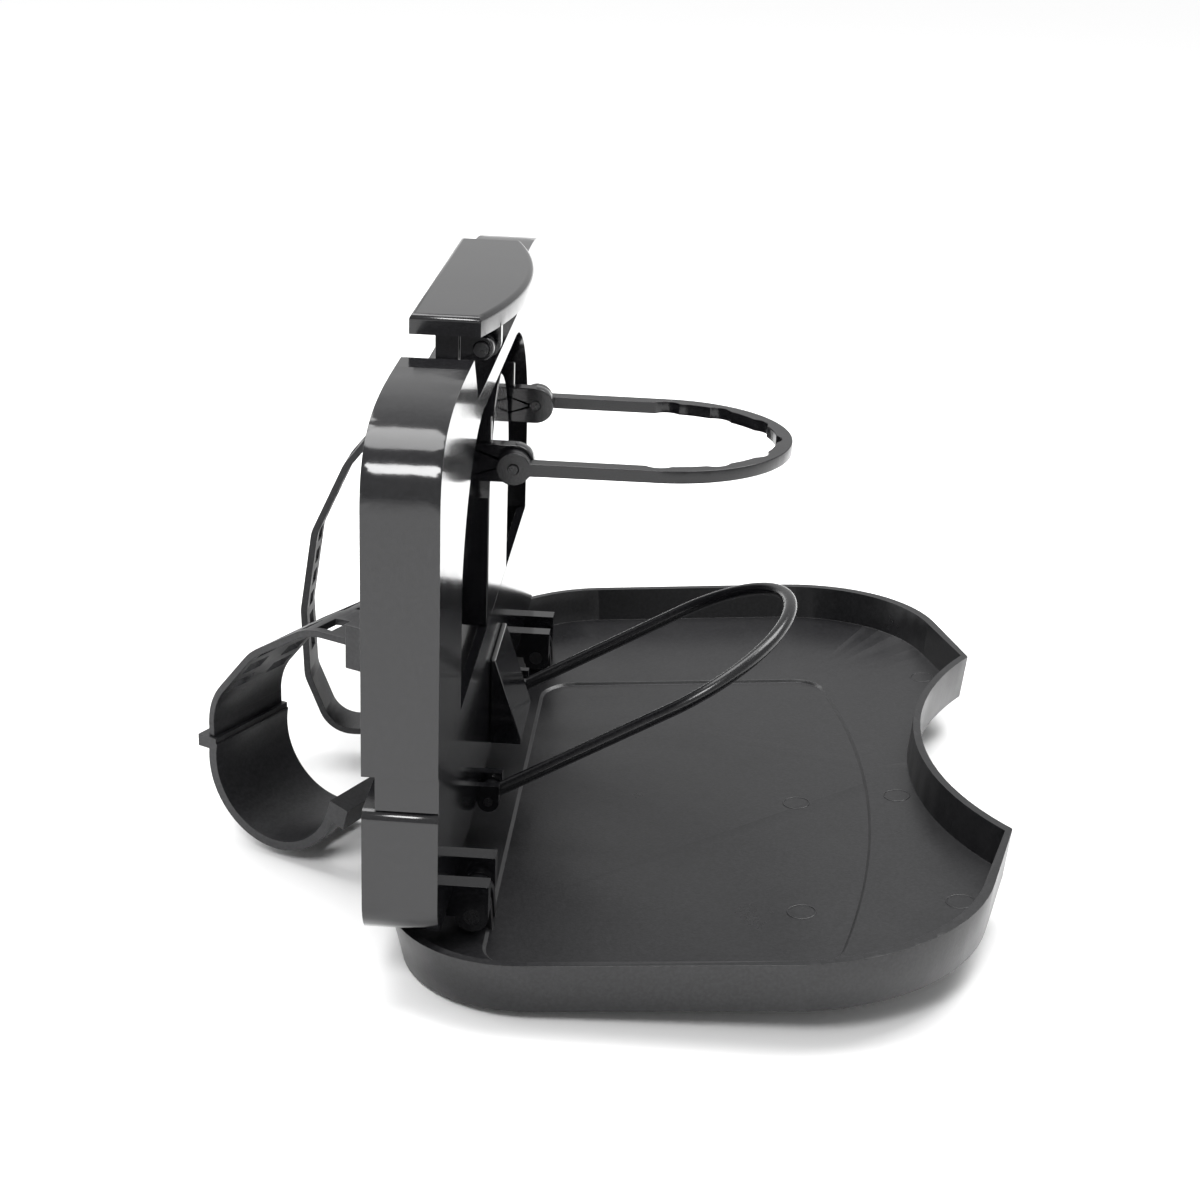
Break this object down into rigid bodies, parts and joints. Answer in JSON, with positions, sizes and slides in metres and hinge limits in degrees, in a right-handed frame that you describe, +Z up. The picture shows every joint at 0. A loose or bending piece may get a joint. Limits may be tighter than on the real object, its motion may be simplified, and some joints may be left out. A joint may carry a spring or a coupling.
{
  "type": "folding seat-back tray with cup holder",
  "caption": "Folding tray on an upright panel, with a flip-out cup ring, a cup cradle, a lift-up handle and rear fixing straps.",
  "frame": {"origin": "the point on the tray's underside below the middle of the panel's front face", "axes": "+X across the panel, +Y towards the seat behind it, +Z up"},
  "size_m": [0.299, 0.256, 0.1777],
  "materials": {
    "tray_black": "satin, fine leather grain outside",
    "panel_black": "high gloss moulded",
    "loop_black": "semi gloss moulded",
    "strap_black": "flexible moulded plastic",
    "pin_black": "moulded pins",
    "screw_steel": "plated"
  },
  "bodies": {
    "panel": {"catch_wedge": "panel_black", "cradle_pin_left": "pin_black", "cradle_pin_right": "pin_black", "cup_column": "panel_black", "handle_post_left": "panel_black", "handle_post_right": "panel_black", "handle_rod": "pin_black", "handle_screws": "screw_steel", "lower_housing": "panel_black", "panel_frame": "panel_black", "panel_screws": "screw_steel", "recessed_panel": "panel_black", "ring_ear_left": "panel_black", "ring_ear_right": "panel_black", "ring_pin_left": "pin_black", "ring_pin_right": "pin_black", "slim_strap": "strap_black", "slim_strap_anchor_bottom": "strap_black", "slim_strap_anchor_top": "strap_black", "strap_hook": "strap_black", "tray_hinge_pin_left": "pin_black", "tray_hinge_pin_right": "pin_black", "wide_strap": "strap_black", "wide_strap_anchor": "strap_black"},
    "tray": {"tray": "tray_black"},
    "ring": {"cup_ring": "loop_black"},
    "cradle": {"cup_cradle": "loop_black"},
    "handle": {"handle_cap": "panel_black"}
  },
  "joints": [
    {"name": "tray_fold", "type": "hinge", "parent": "panel", "child": "tray", "pos_m": [0, -0.006, 0.011], "axis": [-1, 0, 0], "range_deg": [0, 30]},
    {"name": "ring_fold", "type": "hinge", "parent": "panel", "child": "ring", "pos_m": [0, -0.0085, 0.126], "axis": [1, 0, 0], "range_deg": [0, 90]},
    {"name": "cradle_fold", "type": "hinge", "parent": "panel", "child": "cradle", "pos_m": [0, -0.0035, 0.0175], "axis": [-1, 0, 0], "range_deg": [0, 60]},
    {"name": "handle_lift", "type": "hinge", "parent": "panel", "child": "handle", "pos_m": [0, 0.0005, 0.1655], "axis": [1, 0, 0], "range_deg": [0, 35]}
  ]
}
